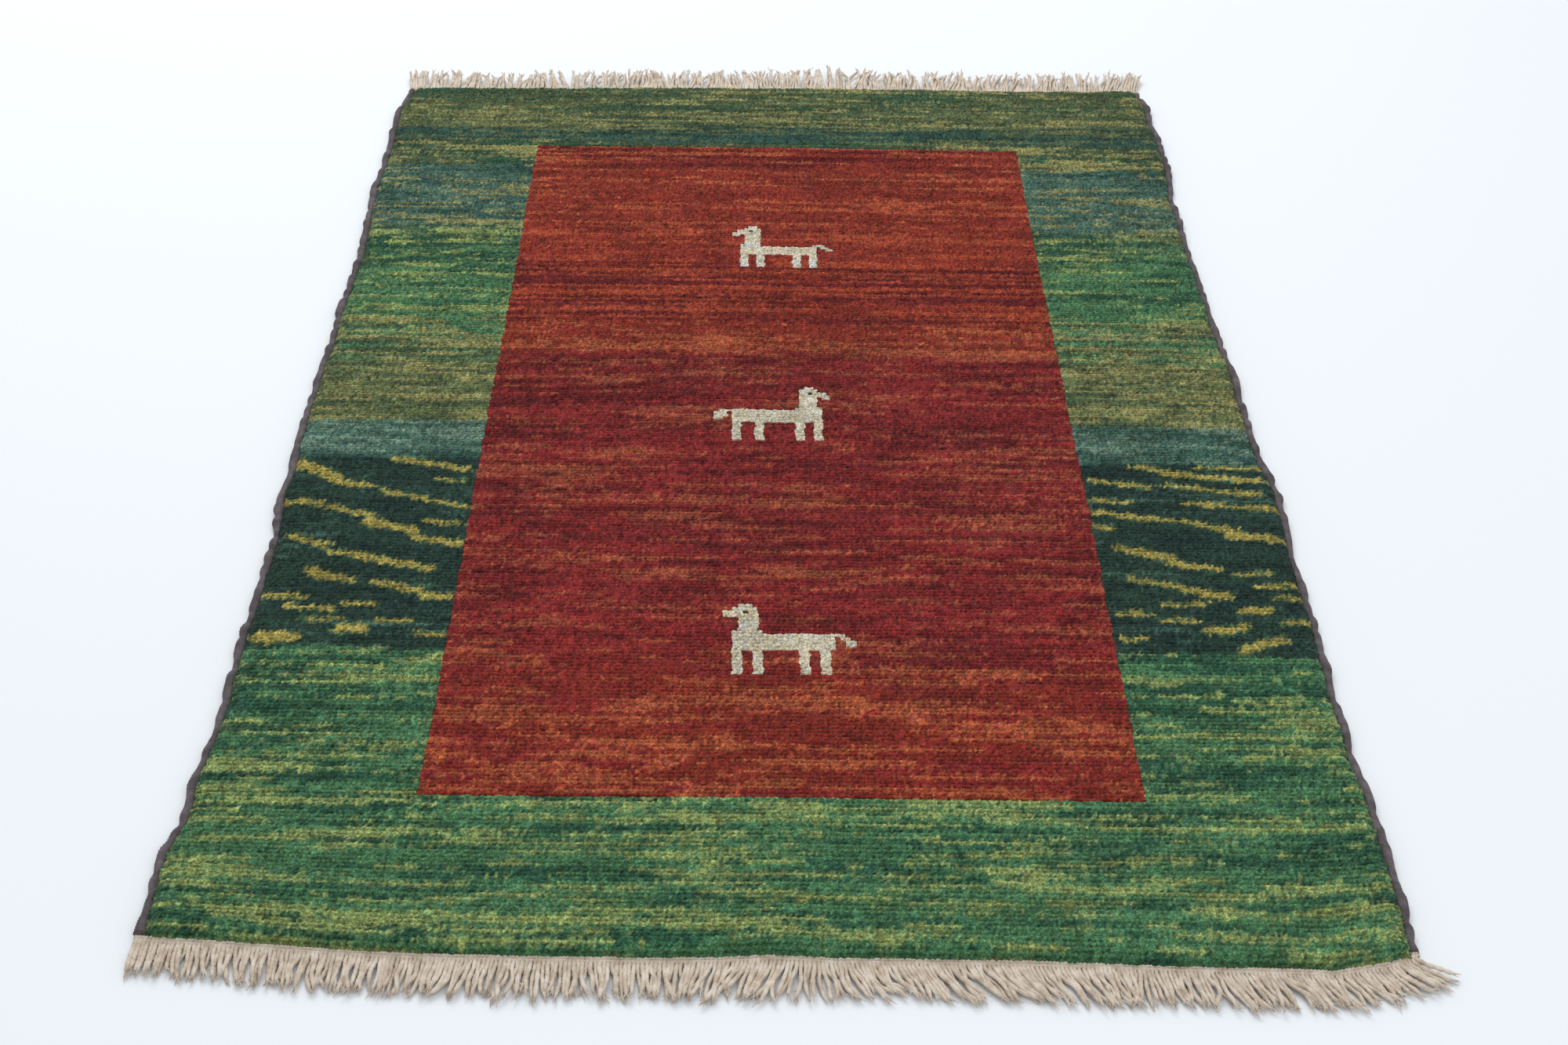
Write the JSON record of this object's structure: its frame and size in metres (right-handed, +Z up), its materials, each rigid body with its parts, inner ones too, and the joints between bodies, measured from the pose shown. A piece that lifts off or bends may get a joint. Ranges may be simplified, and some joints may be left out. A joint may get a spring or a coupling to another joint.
{
  "type": "gabbeh rug",
  "caption": "Flat hand-knotted wool rug with thick pile, overcast side cords and a short warp fringe along both ends.",
  "frame": {"origin": "middle of the rug's footprint, fringes included, on the floor", "axes": "+X across the rug, +Y along its length away from the front fringe, +Z up out of the pile"},
  "size_m": [1.0232, 1.627, 0.0141],
  "materials": {
    "pile_wool": "hand-knotted wool pile, clipped, green border and crimson field",
    "cord_wool": "charcoal goat-hair and wool overcasting",
    "fringe_wool": "undyed twisted wool warp"
  },
  "bodies": {
    "root": {"pile_rug": "pile_wool", "side_cord_left": "cord_wool", "side_cord_right": "cord_wool", "fringe_front": "fringe_wool", "fringe_back": "fringe_wool"}
  },
  "joints": []
}
